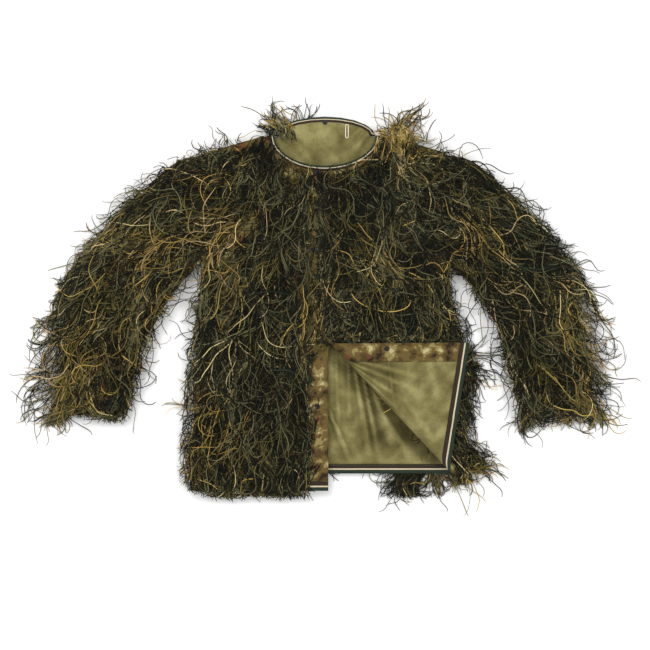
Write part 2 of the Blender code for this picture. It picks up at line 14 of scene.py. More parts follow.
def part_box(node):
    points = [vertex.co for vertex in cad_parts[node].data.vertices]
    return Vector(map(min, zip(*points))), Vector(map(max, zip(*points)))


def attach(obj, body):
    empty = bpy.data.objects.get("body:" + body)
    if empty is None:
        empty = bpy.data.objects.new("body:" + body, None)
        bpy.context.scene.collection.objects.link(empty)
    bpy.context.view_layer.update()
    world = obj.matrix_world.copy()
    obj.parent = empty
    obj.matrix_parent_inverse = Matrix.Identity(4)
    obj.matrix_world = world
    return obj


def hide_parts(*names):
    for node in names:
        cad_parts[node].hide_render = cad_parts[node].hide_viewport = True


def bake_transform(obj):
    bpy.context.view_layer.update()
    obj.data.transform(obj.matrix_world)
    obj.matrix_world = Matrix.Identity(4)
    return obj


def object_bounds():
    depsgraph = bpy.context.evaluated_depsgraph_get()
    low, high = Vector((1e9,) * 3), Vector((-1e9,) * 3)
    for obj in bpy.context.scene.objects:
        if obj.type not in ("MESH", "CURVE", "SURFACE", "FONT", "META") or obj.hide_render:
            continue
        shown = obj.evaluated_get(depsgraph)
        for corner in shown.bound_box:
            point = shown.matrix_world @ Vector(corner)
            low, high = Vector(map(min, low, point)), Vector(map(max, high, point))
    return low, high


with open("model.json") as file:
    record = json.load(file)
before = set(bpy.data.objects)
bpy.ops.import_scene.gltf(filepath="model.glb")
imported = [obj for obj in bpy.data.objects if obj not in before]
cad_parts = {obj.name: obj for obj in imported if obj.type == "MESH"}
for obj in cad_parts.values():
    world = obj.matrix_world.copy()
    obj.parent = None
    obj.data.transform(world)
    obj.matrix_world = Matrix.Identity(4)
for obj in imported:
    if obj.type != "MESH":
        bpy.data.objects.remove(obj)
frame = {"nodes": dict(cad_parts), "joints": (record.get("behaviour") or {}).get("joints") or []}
cad_bounds = [list(corner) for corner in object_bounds()]
nodes = frame["nodes"]
joints = {joint["name"]: joint for joint in frame["joints"]}

# ---------------------------------------------------------------- Table, light and camera
# The jacket lies on a white table under soft even light, and the camera looks straight down on it.
# The view is a little wider than the span from cuff to cuff.
VIEW_WIDTH = 1.3975
CAMERA_HEIGHT = 4.2
SENSOR = 36.0
LOOK_AT = Vector((0.0, -0.0387))
TABLE_HALF = 9
TABLE_DROP = 0.0005

table_mesh = bpy.data.meshes.new("table")
table_corners = [(TABLE_HALF * x, TABLE_HALF * y, 0) for x, y in ((-1, -1), (1, -1), (1, 1), (-1, 1))]
table_mesh.from_pydata(table_corners, [], [(0, 1, 2, 3)])
table = bpy.data.objects.new("table", table_mesh)
bpy.context.collection.objects.link(table)
table.location.z = -TABLE_DROP
paper = bpy.data.materials.new("white_paper")
paper.use_nodes = True
paper_shader = paper.node_tree.nodes["Principled BSDF"]
paper_shader.inputs["Base Color"].default_value = (0.93, 0.93, 0.93, 1)
paper_shader.inputs["Roughness"].default_value = 0.9
table_mesh.materials.append(paper)

world = bpy.data.worlds.new("soft_room")
bpy.context.scene.world = world
world.use_nodes = True
world.node_tree.nodes["Background"].inputs["Color"].default_value = (1.0, 1.0, 1.0, 1)
world.node_tree.nodes["Background"].inputs["Strength"].default_value = 0.80

for light_name, place, size, power in (
    ("top_softbox", (-0.9, 1.1, 2.6), 1.6, 46),
    ("side_softbox", (1.6, -0.6, 2.2), 1.2, 16),
):
    lamp = bpy.data.lights.new(light_name, "AREA")
    lamp.size = size
    lamp.energy = power
    lamp_object = bpy.data.objects.new(light_name, lamp)
    lamp_object.location = place
    lamp_object.rotation_euler = (Vector((0, 0, 0)) - Vector(place)).to_track_quat("-Z", "Y").to_euler()
    bpy.context.collection.objects.link(lamp_object)

camera_data = bpy.data.cameras.new("overhead")
camera_data.sensor_width = SENSOR
camera_data.lens = SENSOR * CAMERA_HEIGHT / VIEW_WIDTH
camera_data.clip_end = 60
camera = bpy.data.objects.new("overhead", camera_data)
camera.location = (LOOK_AT.x, LOOK_AT.y, CAMERA_HEIGHT)
bpy.context.collection.objects.link(camera)
bpy.context.scene.camera = camera
bpy.context.scene.view_settings.view_transform = "Standard"


# ---------------------------------------------------------------- Yarn
# Acrylic yarn, sewn to the shell in tufts of eight or so and left to hang and mat together.
# Each strand is a soft tube that starts at its tuft, lies over what is under it and ends loose.
YARN_RADIUS = 0.00098
STRAND_STEPS = 20
SHORT_STEPS = 12
LONG_STRAND = (0.13, 0.21)
SHORT_STRAND = (0.05, 0.11)
GRID_STEP = 0.004
GRID_MARGIN = 0.1
SPILL = 5


def object_from(name, verts, edges=(), faces=()):
    mesh = bpy.data.meshes.new(name)
    mesh.from_pydata(verts, edges, faces)
    made = bpy.data.objects.new(name, mesh)
    bpy.context.collection.objects.link(made)
    return made


def srgb(red, green, blue):
    return np.array([((c / 255 + 0.055) / 1.055) ** 2.4 for c in (red, green, blue)])


def ripple(seed, wavelength, x, y, count=18):
    """A smooth random field, about -1 to 1, whose hills are about a wavelength apart."""
    rng = np.random.default_rng(seed)
    angle = rng.uniform(0, 2 * math.pi, count)
    phase = rng.uniform(0, 2 * math.pi, count)
    pitch = 2 * math.pi / (wavelength * rng.uniform(0.7, 1.5, count))
    total = np.zeros(np.shape(x))
    for a, p, k in zip(angle, phase, pitch):
        total += np.cos((x * math.cos(a) + y * math.sin(a)) * k + p)
    return total / math.sqrt(count / 2) / 1.6


def smooth_step(value, low, high):
    t = np.clip((value - low) / (high - low), 0, 1)
    return t * t * (3 - 2 * t)


# The ground that the yarn covers, on a grid: how high the cloth lies, and how far the yarn's edge is.
low_corner, high_corner = (np.array(corner) for corner in cad_bounds)
grid_x = np.arange(low_corner[0] - GRID_MARGIN, high_corner[0] + GRID_MARGIN, GRID_STEP)
grid_y = np.arange(low_corner[1] - GRID_MARGIN, high_corner[1] + GRID_MARGIN, GRID_STEP)


def heights_of(*names):
    """The top of the named nodes over the grid, and 0 where there is none."""
    top = np.zeros((len(grid_x), len(grid_y)))
    for name in names:
        tree = BVHTree.FromObject(nodes[name], bpy.context.evaluated_depsgraph_get())
        corner_a, corner_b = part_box(name)
        for i in np.flatnonzero((grid_x > corner_a[0]) & (grid_x < corner_b[0])):
            for j in np.flatnonzero((grid_y > corner_a[1]) & (grid_y < corner_b[1])):
                hit = tree.ray_cast(Vector((grid_x[i], grid_y[j], 1)), Vector((0, 0, -1)))[0]
                if hit is not None:
                    top[i, j] = max(top[i, j], hit.z)
    return top


def spread(field, reach, widest):
    """Each cell takes the most (or the mean) of the cells within reach of it."""
    for axis in (0, 1):
        near = [np.roll(field, k, axis) for k in range(-reach, reach + 1)]
        field = np.maximum.reduce(near) if widest else sum(near) / len(near)
    return field


def distance_inside(mask):
    """The distance to the mask's edge, positive inside it, with its slope."""
    beside = [np.roll(mask, way, axis) for axis in (0, 1) for way in (1, -1)]
    edge = mask & ~np.logical_and.reduce(beside)
    cells = np.argwhere(edge)
    tree = KDTree(len(cells))
    for number, (i, j) in enumerate(cells):
        tree.insert((grid_x[i], grid_y[j], 0), number)
    tree.balance()
    far = np.array([[tree.find((x, y, 0))[2] for y in grid_y] for x in grid_x])
    signed = spread(np.where(mask, far, -far), 1, False)
    return signed, *np.gradient(signed, GRID_STEP)


def on_grid(field, x, y):
    """The field's value at any place, between its four nearest cells."""
    u = np.clip((x - grid_x[0]) / GRID_STEP, 0, len(grid_x) - 1.001)
    v = np.clip((y - grid_y[0]) / GRID_STEP, 0, len(grid_y) - 1.001)
    i, j = u.astype(int), v.astype(int)
    fu, fv = u - i, v - j
    return ((field[i, j] * (1 - fu) + field[i + 1, j] * fu) * (1 - fv)
            + (field[i, j + 1] * (1 - fu) + field[i + 1, j + 1] * fu) * fv)


cloth_top = heights_of(
    "back_shell", "right_front_shell", "left_front_shell", "left_sleeve_shell", "right_sleeve_shell",
    "right_hem_binding", "right_neck_binding", "left_neck_binding", "left_cuff_binding",
    "right_cuff_binding", "left_shoulder_seam", "right_shoulder_seam")
support = spread(spread(cloth_top, SPILL, True), SPILL, False)
yarn_cover = heights_of(
    "right_front_yarn_layer", "left_front_yarn_layer", "left_sleeve_upper_yarn", "right_sleeve_upper_yarn")
beneath = heights_of("back_yarn_layer", "corner_yarn_layer", "corner_lining")
everything = beneath + cloth_top + yarn_cover > 0
cover_edge = distance_inside(yarn_cover > 0)
outline_edge = distance_inside(everything)
cover_inside, outline_inside = cover_edge[0], outline_edge[0]

# Most strands end short of the outline: more so at the hem and the right cuff. On the outer forearms,
# the body's lower right side and the collar they reach it or pass it.
across_x, along_y = np.meshgrid(grid_x, grid_y, indexing="ij")
short_by = np.full(support.shape, 0.014)
short_by[(along_y < -0.36)] = 0.030
short_by[(across_x < -0.35) & (along_y < -0.21)] = 0.026
short_by[(abs(across_x) > 0.56) & (along_y < -0.03)] = -0.004
short_by[(across_x < -0.26) & (across_x > -0.37) & (along_y < -0.16) & (along_y > -0.36)] = -0.010
short_by[along_y > 0.33] = 0.0
shrunk = outline_inside - spread(short_by, 4, False)
cover_edge = (np.minimum(cover_inside, shrunk), *cover_edge[1:])
outline_edge = (shrunk, *outline_edge[1:])

# The yarn's tree: the strand lines become tubes of the width that each point carries.
yarn_tree = bpy.data.node_groups.new("yarn_strands", "GeometryNodeTree")
yarn_tree.interface.new_socket("Lines", in_out="INPUT", socket_type="NodeSocketGeometry")
sides_socket = yarn_tree.interface.new_socket("Sides", in_out="INPUT", socket_type="NodeSocketInt")
sides_socket.default_value = 3
material_socket = yarn_tree.interface.new_socket("Material", in_out="INPUT", socket_type="NodeSocketMaterial")
yarn_tree.interface.new_socket("Strands", in_out="OUTPUT", socket_type="NodeSocketGeometry")
tree_in = yarn_tree.nodes.new("NodeGroupInput")
tree_out = yarn_tree.nodes.new("NodeGroupOutput")
to_curve = yarn_tree.nodes.new("GeometryNodeMeshToCurve")
profile = yarn_tree.nodes.new("GeometryNodeCurvePrimitiveCircle")
profile.inputs["Radius"].default_value = 1.0
width = yarn_tree.nodes.new("GeometryNodeInputNamedAttribute")
width.data_type = "FLOAT"
width.inputs["Name"].default_value = "width"
to_tube = yarn_tree.nodes.new("GeometryNodeCurveToMesh")
to_tube.inputs["Fill Caps"].default_value = True
realize = yarn_tree.nodes.new("GeometryNodeRealizeInstances")
rounded = yarn_tree.nodes.new("GeometryNodeSetShadeSmooth")
dressed = yarn_tree.nodes.new("GeometryNodeSetMaterial")
for source, target in (
    (tree_in.outputs["Lines"], to_curve.inputs["Mesh"]),
    (tree_in.outputs["Sides"], profile.inputs["Resolution"]),
    (to_curve.outputs["Curve"], to_tube.inputs["Curve"]),
    (profile.outputs["Curve"], to_tube.inputs["Profile Curve"]),
    (width.outputs["Attribute"], to_tube.inputs["Scale"]),
    (to_tube.outputs["Mesh"], realize.inputs["Geometry"]),
    (realize.outputs["Geometry"], rounded.inputs["Geometry"]),
    (rounded.outputs["Geometry"], dressed.inputs["Geometry"]),
    (tree_in.outputs["Material"], dressed.inputs["Material"]),
    (dressed.outputs["Geometry"], tree_out.inputs["Strands"]),
):
    yarn_tree.links.new(source, target)

dyed_yarn = bpy.data.materials.new("dyed_acrylic_yarn")
dyed_yarn.use_nodes = True
yarn_nodes = dyed_yarn.node_tree.nodes
yarn_shader = yarn_nodes["Principled BSDF"]
yarn_shader.inputs["Roughness"].default_value = 0.78
yarn_shader.inputs["Specular IOR Level"].default_value = 0.18
dye_colour = yarn_nodes.new("ShaderNodeAttribute")
dye_colour.attribute_name = "dye"
dyed_yarn.node_tree.links.new(dye_colour.outputs["Color"], yarn_shader.inputs["Base Color"])


def strand_tubes(name, points, radius, colours, sides=3):
    """Turns centrelines (strand, step, xyz) into one mesh, with each strand's dye and its own map cell."""
    count, steps = points.shape[:2]
    index = np.arange(count * steps).reshape(count, steps)
    edges = np.stack([index[:, :-1], index[:, 1:]], -1).reshape(-1, 2)
    lines = object_from(name + "_lines", points.reshape(-1, 3).tolist(), edges.tolist())
    widths = lines.data.attributes.new("width", "FLOAT", "POINT")
    widths.data.foreach_set("value", radius.ravel().astype(np.float32))
    opaque = np.concatenate([colours, np.ones((*colours.shape[:2], 1))], -1)
    dyes = lines.data.attributes.new("dye", "FLOAT_COLOR", "POINT")
    dyes.data.foreach_set("color", opaque.ravel().astype(np.float32))
    modifier = lines.modifiers.new("strands", "NODES")
    modifier.node_group = yarn_tree
    modifier[sides_socket.identifier] = sides
    modifier[material_socket.identifier] = dyed_yarn
    mesh = bpy.data.meshes.new_from_object(lines.evaluated_get(bpy.context.evaluated_depsgraph_get()))
    mesh.name = name
    bpy.data.objects.remove(lines)
    tubes = bpy.data.objects.new(name, mesh)
    bpy.context.collection.objects.link(tubes)
    # Each strand has one cell of a square map, its length up the cell and its girth across it.
    vertex = np.empty(len(mesh.loops), np.int32)
    mesh.loops.foreach_get("vertex_index", vertex)
    strand, rest = np.divmod(vertex, steps * sides)
    step, side = np.divmod(rest, sides)
    first = np.empty(len(mesh.polygons), np.int32)
    total = np.empty(len(mesh.polygons), np.int32)
    mesh.polygons.foreach_get("loop_start", first)
    mesh.polygons.foreach_get("loop_total", total)
    face = np.repeat(np.arange(len(first)), total)
    top = np.maximum.reduceat(side, first)[face]
    least = np.minimum.reduceat(side, first)[face]
    around = np.where((top == sides - 1) & (least == 0) & (side == 0), sides, side)
    columns = math.ceil(math.sqrt(count))
    edge_gap, end_gap = 0.06, 0.04
    u = (strand % columns + edge_gap + (1 - 2 * edge_gap) * around / sides) / columns
    v = (strand // columns + end_gap + (1 - 2 * end_gap) * step / (steps - 1)) / columns
    layer = mesh.uv_layers.new(name="OFBake")
    layer.uv.foreach_set("vector", np.stack([u, v], -1).ravel().astype(np.float32))
    return tubes


# Sleeves run from the armhole's middle down to the cuff, and the yarn on them hangs along them.
SHOULDER_HEADING = math.radians(53)
CUFF_HEADING = math.radians(8)


BODY_HALF = 0.28
TUFT_SIZE = 8
TUFT_SPREAD = 0.007
STRAY_SHARE = 0.16
LOOPED_SHARE = 0.10
WIDE_WANDER = (0.62, 0.11)
FINE_WANDER = (0.34, 0.035)
STIFFNESS = 0.42
SHARPEST_TURN = 0.55


def torso_flow(x, y):
    """Which way the body's yarn hangs: down, and a little outwards to the sides."""
    aside = np.clip(x / BODY_HALF, -1.2, 1.2)
    return -math.pi / 2 + 0.5 * aside * smooth_step(y, -0.1, 0.3) + 0.12 * x / BODY_HALF


def sleeve_flow(x, y):
    """Which way a sleeve's yarn hangs: along the sleeve, which bends down towards the cuff."""
    lean = SHOULDER_HEADING + (CUFF_HEADING - SHOULDER_HEADING) * smooth_step(-y, -0.24, 0.16)
    return -math.pi / 2 + np.sign(x) * (lean + 0.15)


def grow(seed, tufts, flow, where, length, steps, roam, edge):
    """Lays strands: they start in tufts, follow the flow and wander, and turn back or stop near the edge.
    Gives their lines (strand, step, xy), each strand's tuft, and the random draws to go on with."""
    rng = np.random.default_rng(seed)
    field, slope_x, slope_y = edge
    centre = where(rng, tufts)
    tuft = np.repeat(np.arange(tufts), TUFT_SIZE)
    count = len(tuft)
    pos = centre[tuft] + rng.normal(0, TUFT_SPREAD, (count, 2))
    lean = rng.normal(0, 0.32, tufts)[tuft] + rng.normal(0, 0.16, count)
    curl = rng.normal(0, 0.5, tufts)[tuft] * 0.7 + rng.normal(0, 0.45, count)
    looped = rng.random(count) < LOOPED_SHARE
    turn = np.where(looped, rng.normal(0, 0.22, count), rng.normal(0, 0.045, count))
    phase = rng.uniform(0, 2 * math.pi, tufts)[tuft] + rng.normal(0, 0.5, count)
    rate = rng.uniform(0.25, 0.6, count)
    hook = rng.normal(0, 1.1, count)
    pace = rng.uniform(*length, count) / (steps - 1)
    stray = rng.random(count) < STRAY_SHARE
    allow = np.where(stray, rng.uniform(0.012, 0.045, count), rng.uniform(0.0, 0.012, count)) * roam
    angle = flow(*pos.T) + lean + rng.normal(0, 0.5, count)
    path = np.empty((count, steps, 2))
    drift = np.zeros(count)
    last = np.full(count, float(steps - 1))
    for step in range(steps):
        path[:, step] = pos
        x, y = pos.T
        age = step / steps
        drift += turn
        aim = flow(x, y) + lean
        for number, (swerve, wavelength) in enumerate((WIDE_WANDER, FINE_WANDER), 1):
            aim = aim + swerve * ripple(seed + number, wavelength, x, y)
        bend = curl * np.sin(phase + rate * step) * (0.6 + 1.3 * age)
        aim += bend + drift + hook * smooth_step(age, 0.62, 0.95)
        inside = on_grid(field, x, y)
        room = allow * np.where(on_grid(outline_inside, x, y) > 0.004, 0.25, 1.0)
        push = smooth_step(-(inside + room), -0.016, 0.012)
        go_x = np.cos(aim) + push * on_grid(slope_x, x, y)
        go_y = np.sin(aim) + push * on_grid(slope_y, x, y)
        want = np.arctan2(go_y, go_x)
        swing = (want - angle + math.pi) % (2 * math.pi) - math.pi
        angle = angle + np.clip(STIFFNESS * swing, -SHARPEST_TURN, SHARPEST_TURN)
        pos = pos + pace[:, None] * np.stack([np.cos(angle), np.sin(angle)], -1)
        outside_box = (y < low_corner[1] - 0.022) | (y > high_corner[1] + 0.022)
        outside_box |= abs(x) > high_corner[0] + 0.03
        gone = ((inside < -room - 0.007) | outside_box) & (last == steps - 1)
        last[gone] = max(step, 3)
    place = np.linspace(0, 1, steps) * last[:, None]
    low = np.minimum(place.astype(int), steps - 2)
    part = (place - low)[..., None]
    rows = np.arange(count)[:, None]
    path = path[rows, low] * (1 - part) + path[rows, low + 1] * part
    return path, tuft, rng


TABLE_CLEARANCE = 0.0013


def lay(path, rng, ground, loft=0.018, bounce=0.0025, flat=False):
    """Gives the strands their height: from the cloth at the root up to their own level in the pile."""
    x, y = path[..., 0], path[..., 1]
    count, steps = x.shape
    along = np.linspace(0, 1, steps)
    level = rng.beta(1.3, 1.2, count)[:, None]
    level = level * smooth_step(along, 0.0, 0.22) - 0.25 * level * smooth_step(along, 0.75, 1.0)
    inside = on_grid(cover_inside, x, y)
    lumps = 0.72 + 0.28 * ripple(91, 0.09, x, y)
    pile = loft if flat else loft * lumps * (0.25 + 0.75 * smooth_step(inside, -0.01, 0.05))
    wave = np.sin(rng.uniform(0, 6.28, (count, 1)) + along * rng.uniform(4, 11, (count, 1))) * bounce
    z = on_grid(ground, x, y) + 0.001 + pile * level + wave * (0.3 + 0.7 * smooth_step(inside, -0.02, 0.02))
    return np.concatenate([path, np.maximum(z, TABLE_CLEARANCE)[..., None]], -1)


# The dyes, and where they are: the tufts are dark green, with tufts of the paler dyes in patches.
DYES = {
    "black_green": srgb(15, 15, 8), "dark_green": srgb(29, 29, 17), "grey_green": srgb(92, 90, 62),
    "olive": srgb(86, 78, 38), "gold": srgb(156, 130, 68), "tan": srgb(188, 166, 116),
    "blue_green": srgb(36, 47, 34), "brown": srgb(68, 52, 30),
}
PLAIN_MIX = dict(
    black_green=0.38, dark_green=0.24, grey_green=0.20, olive=0.08, blue_green=0.04, brown=0.03, tan=0.015,
    gold=0.01)
GOLD_MIX = dict(
    black_green=0.03, dark_green=0.10, grey_green=0.06, olive=0.34, gold=0.32, tan=0.10, brown=0.05)


def dye(path, tuft, rng):
    """A dye for each strand: most of a tuft shares one, and it fades a little towards the tip."""
    count, steps = path.shape[:2]
    names = list(DYES)
    plain = np.array([PLAIN_MIX.get(name, 0) for name in names])
    gold = np.array([GOLD_MIX.get(name, 0) for name in names])
    plain, gold = plain / plain.sum(), gold / gold.sum()
    mid = path[:, steps // 3]
    amount = gold_map(mid[:, 0], mid[:, 1])
    shared = np.array([amount[tuft == number].mean() for number in range(tuft.max() + 1)])
    own = rng.random(count) < 0.3
    draw = np.where(own, rng.random(count), rng.random(tuft.max() + 1)[tuft])
    share = np.where(own, amount, shared[tuft])[:, None]
    table = np.cumsum(plain * (1 - share) + gold * share, 1)
    pick = np.minimum((draw[:, None] > table).sum(1), len(names) - 1)
    base = np.array(list(DYES.values()))[pick]
    bright = np.exp(np.clip(rng.normal(0, 0.34, (count, 1)), -0.8, 0.45))
    base = base * bright * (1 + rng.normal(0, 0.035, (count, 3)))
    along = np.linspace(0, 1, steps)
    bands = np.sin(along * rng.uniform(5, 25, (count, 1)) + rng.uniform(0, 6, (count, 1)))
    fade = np.linspace(0.75, 1.25, steps)[None, :, None] * (1 + 0.12 * bands[..., None])
    return np.clip(base[:, None] * fade, 0.002, 0.8)


def thickness(rng, count, steps):
    """Each strand has its own thickness, and thins at its loose end."""
    along = np.linspace(0, 1, steps)
    taper = 1 - 0.35 * smooth_step(along, 0.85, 1.0)
    return YARN_RADIUS * rng.uniform(0.75, 1.2, (count, 1)) * taper[None]


def gold_map(x, y):
    """Where the gold and olive tufts are, from 0 to 1: a patch is its middle, its reach and its share."""
    total = np.zeros(np.shape(x))
    for px, py, reach_x, reach_y, amount in (
        (-0.42, 0.138, 0.085, 0.03, 0.9), (-0.52, -0.03, 0.06, 0.10, 0.6), (-0.35, 0.02, 0.05, 0.04, 0.8),
        (-0.56, -0.16, 0.08, 0.07, 0.5), (-0.225, 0.17, 0.030, 0.12, 0.6), (-0.038, -0.02, 0.035, 0.045, 0.9),
        (-0.25, -0.25, 0.06, 0.10, 0.55), (0.09, 0.13, 0.02, 0.05, 0.7), (0.31, 0.17, 0.04, 0.07, 0.7),
        (0.53, 0.04, 0.05, 0.10, 0.75), (0.57, -0.2, 0.08, 0.07, 0.4), (0.166, 0.38, 0.06, 0.06, 1.3),
        (-0.075, 0.41, 0.04, 0.03, 0.6), (0.33, -0.38, 0.06, 0.06, 0.8),
    ):
        total += amount * np.exp(-((x - px) / reach_x) ** 2 - ((y - py) / reach_y) ** 2)
    return np.clip(1.15 * total + 0.18 * ripple(77, 0.07, x, y) - 0.03, 0, 1)


def over(mask_field, level, chance=None):
    """A sampler that puts tufts evenly where a grid field is above a level."""
    def sample(rng, count):
        found = np.empty((0, 2))
        while len(found) < count:
            spot = rng.uniform((grid_x[0], grid_y[0]), (grid_x[-1], grid_y[-1]), (count * 4, 2))
            good = on_grid(mask_field, *spot.T) > level
            if chance is not None:
                good &= rng.random(len(spot)) < chance(*spot.T)
            found = np.concatenate([found, spot[good]])
        return found[:count]
    return sample


body_field = heights_of("right_front_shell", "left_front_shell")
sleeve_fields = {side: heights_of(side + "_sleeve_shell") for side in ("left", "right")}


def outward_flow(x, y):
    """Over an edge the yarn falls outwards, to the table."""
    return np.arctan2(on_grid(-outline_edge[2], x, y), on_grid(-outline_edge[1], x, y))


def back_flow(x, y):
    """The back's yarn lies under the jacket, and sticks out all round: up at the neck, and down elsewhere."""
    by_the_edge = (y > 0.33) | (np.abs(on_grid(outline_inside, x, y)) < 0.03)
    return np.where(by_the_edge, outward_flow(x, y), -math.pi / 2 + 0.3 * ripple(5, 0.2, x, y))


def steady_flow(heading):
    """Yarn that all lies one way, such as the turned-over corner's, which lies sideways past the hem."""
    return lambda x, y: heading + 0 * x


column_x, row_y = grid_x[:, None], grid_y[None, :]
left_roots = np.where(column_x > -0.03, np.minimum(body_field, cover_inside + 0.03), 0)
right_roots = np.where(column_x < -0.02, body_field, 0)
back_roots = heights_of("back_shell")
shoulders = np.where(row_y > 0.25, body_field, 0)
outer_shoulder = (row_y > 0.25) & (outline_inside < 0.035) & (np.abs(column_x) > 0.115)
shoulder_edge = np.where(outer_shoulder, body_field, 0)
middle = np.where((np.abs(column_x + 0.01) < 0.06) & (row_y > -0.068), body_field, 0)

# Yarn under the turned-over corner is pressed flat, and keeps clear of the fold.
FOLD_CLEARANCE = 0.036
CORNER_YARN_FLOOR = 0.0452
PRESSED_YARN_FLOOR = 0.0352
corner_field = heights_of("corner_yarn_layer")
pressed_field = heights_of("left_front_pressed_yarn")
fold_joint = joints["corner_fold"]
from_fold = (-(column_x - fold_joint["pos_m"][0]) * fold_joint["axis"][1]
             + (row_y - fold_joint["pos_m"][1]) * fold_joint["axis"][0])
corner_edge = distance_inside((corner_field > 0) & (from_fold > FOLD_CLEARANCE))
pressed_edge = distance_inside((pressed_field > 0) & (from_fold > FOLD_CLEARANCE))
corner_roots = np.where(corner_edge[0] > 0.002, corner_field, 0)
pressed_roots = np.where(pressed_edge[0] > 0.002, pressed_field, 0)
deep_corner = (corner_edge[0] - 0.002, *corner_edge[1:])
deep_pressed = (pressed_edge[0] - 0.004, *pressed_edge[1:])
corner_ground, pressed_ground = (
    level * spread(spread(field > 0, 4, True).astype(float), SPILL, False)
    for level, field in ((CORNER_YARN_FLOOR, corner_field), (PRESSED_YARN_FLOOR, pressed_field)))
table_ground = np.zeros_like(support)


def bare_edges(x, y):
    """No tufts show under the collar's middle, nor under the hem beside the placket."""
    collar = (y > 0.33) & (x > -0.03) & (x < 0.10)
    hem = (y < -0.29) & (x > -0.02) & (x < 0.13)
    return np.where(collar | hem, 0.0, 1.0)


def round_spot(x, y, reach):
    return lambda rng, count: rng.normal((x, y), reach, (count, 2))


def sew(name, seed, tufts, flow, where, body="jacket", replaced=None, edge=cover_edge, steps=STRAND_STEPS,
        length=LONG_STRAND, roam=1.0, ground=support, **lie):
    """Makes one piece of yarn, and puts it on its body in place of its plain solid."""
    path, tuft, rng = grow(seed, tufts, flow, where, length, steps, roam, edge)
    points = lay(path, rng, ground, **lie)
    yarn = strand_tubes(name, points, thickness(rng, *points.shape[:2]), dye(path, tuft, rng))
    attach(yarn, body)
    if replaced:
        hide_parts(replaced)


# Loose tufts stick up beside the collar, and out past the hem and the turned-over corner.
CLUMP = dict(steps=SHORT_STEPS, length=SHORT_STRAND)
sew("collar_tuft_right", 33, 16, steady_flow(math.pi / 2 + 0.1), round_spot(-0.100, 0.380, 0.013),
    roam=6.0, loft=0.012, **CLUMP)
sew("collar_tuft_left", 34, 30, steady_flow(math.pi / 2 - 0.15), round_spot(0.160, 0.352, 0.017),
    roam=6.0, loft=0.012, **CLUMP)
sew("hem_tuft", 35, 42, steady_flow(-0.75), round_spot(0.290, -0.325, 0.022), edge=outline_edge, roam=2.5,
    ground=table_ground, loft=0.012, flat=True, **CLUMP)
sew("back_hem_tuft", 36, 24, steady_flow(-math.pi / 2), round_spot(0.195, -0.345, 0.026), edge=outline_edge,
    roam=2.5, ground=table_ground, loft=0.007, flat=True, bounce=0.001, **CLUMP)
sew("side_tuft", 37, 34, steady_flow(-0.55), round_spot(0.292, -0.135, 0.024), "turned_corner",
    edge=outline_edge, roam=2.5, ground=corner_ground, loft=0.0065, flat=True, bounce=0.0006, **CLUMP)
sew("shoulder_edge_tufts", 38, 64, outward_flow, over(shoulder_edge, 0.02), roam=2.5, loft=0.010, **CLUMP)

# The fronts: rows of tufts over the whole cloth, with more at the shoulders and over the placket.
sew("shoulder_yarn", 31, 80, torso_flow, over(shoulders, 0.02), length=SHORT_STRAND, roam=2.2)
sew("placket_yarn", 32, 75, torso_flow, over(middle, 0.02))
sew("right_front_yarn_1", 11, 200, torso_flow, over(right_roots, 0.02), replaced="right_front_yarn_layer")
sew("right_front_yarn_2", 12, 165, torso_flow, over(right_roots, 0.02))
sew("left_front_yarn_1", 13, 200, torso_flow, over(left_roots, 0.02), replaced="left_front_yarn_layer")
sew("left_front_yarn_2", 14, 160, torso_flow, over(left_roots, 0.02))

# The sleeves, above and then beneath, and the back.
for side, seeds in (("left", (15, 16)), ("right", (17, 18))):
    sleeve_roots = over(sleeve_fields[side], 0.02)
    sleeve = side + "_sleeve"
    sew(sleeve + "_yarn_1", seeds[0], 200, sleeve_flow, sleeve_roots, sleeve, sleeve + "_upper_yarn")
    sew(sleeve + "_yarn_2", seeds[1], 135, sleeve_flow, sleeve_roots, sleeve)
BENEATH = dict(
    edge=outline_edge, roam=0.5, ground=table_ground, loft=0.0075, flat=True, bounce=0.001, **CLUMP)
sew("back_yarn", 19, 200, back_flow, over(back_roots, 0.005, bare_edges), replaced="back_yarn_layer",
    **BENEATH)
for side, seed in (("left", 20), ("right", 21)):
    sleeve = side + "_sleeve"
    sew(sleeve + "_under_yarn", seed, 70, sleeve_flow, over(sleeve_fields[side], 0.02), sleeve,
        sleeve + "_lower_yarn", **BENEATH)

# Under the turned-over corner: the front's own yarn, and the corner's on top of it.
PRESSED = dict(steps=SHORT_STEPS, loft=0.0065, flat=True, bounce=0.0006)
sew("pressed_yarn", 22, 90, torso_flow, over(pressed_roots, 0.02), replaced="left_front_pressed_yarn",
    edge=deep_pressed, roam=0.5, ground=pressed_ground, **PRESSED)
sew("corner_yarn", 23, 150, steady_flow(-0.07), over(corner_roots, 0.03), "turned_corner",
    "corner_yarn_layer", edge=deep_corner, roam=1.6, ground=corner_ground, **PRESSED)


# ---------------------------------------------------------------- Cloth finishes
# Weave, stain and the squares of the camouflage print are shared by the cloths and the tape.
def node_group(name, inputs, outputs):
    group = bpy.data.node_groups.new(name, "ShaderNodeTree")
    for label, kind, value in inputs:
        socket = group.interface.new_socket(label, in_out="INPUT", socket_type=kind)
        if value is not None:
            socket.default_value = value
    for label, kind in outputs:
        group.interface.new_socket(label, in_out="OUTPUT", socket_type=kind)
    return group, group.nodes.new("NodeGroupInput"), group.nodes.new("NodeGroupOutput")


def math_node(group, operation, *values):
    made = group.nodes.new("ShaderNodeMath")
    made.operation = operation
    for socket, value in zip(made.inputs, values):
        if hasattr(value, "links"):
            group.links.new(value, socket)
        else:
            socket.default_value = value
    return made.outputs[0]


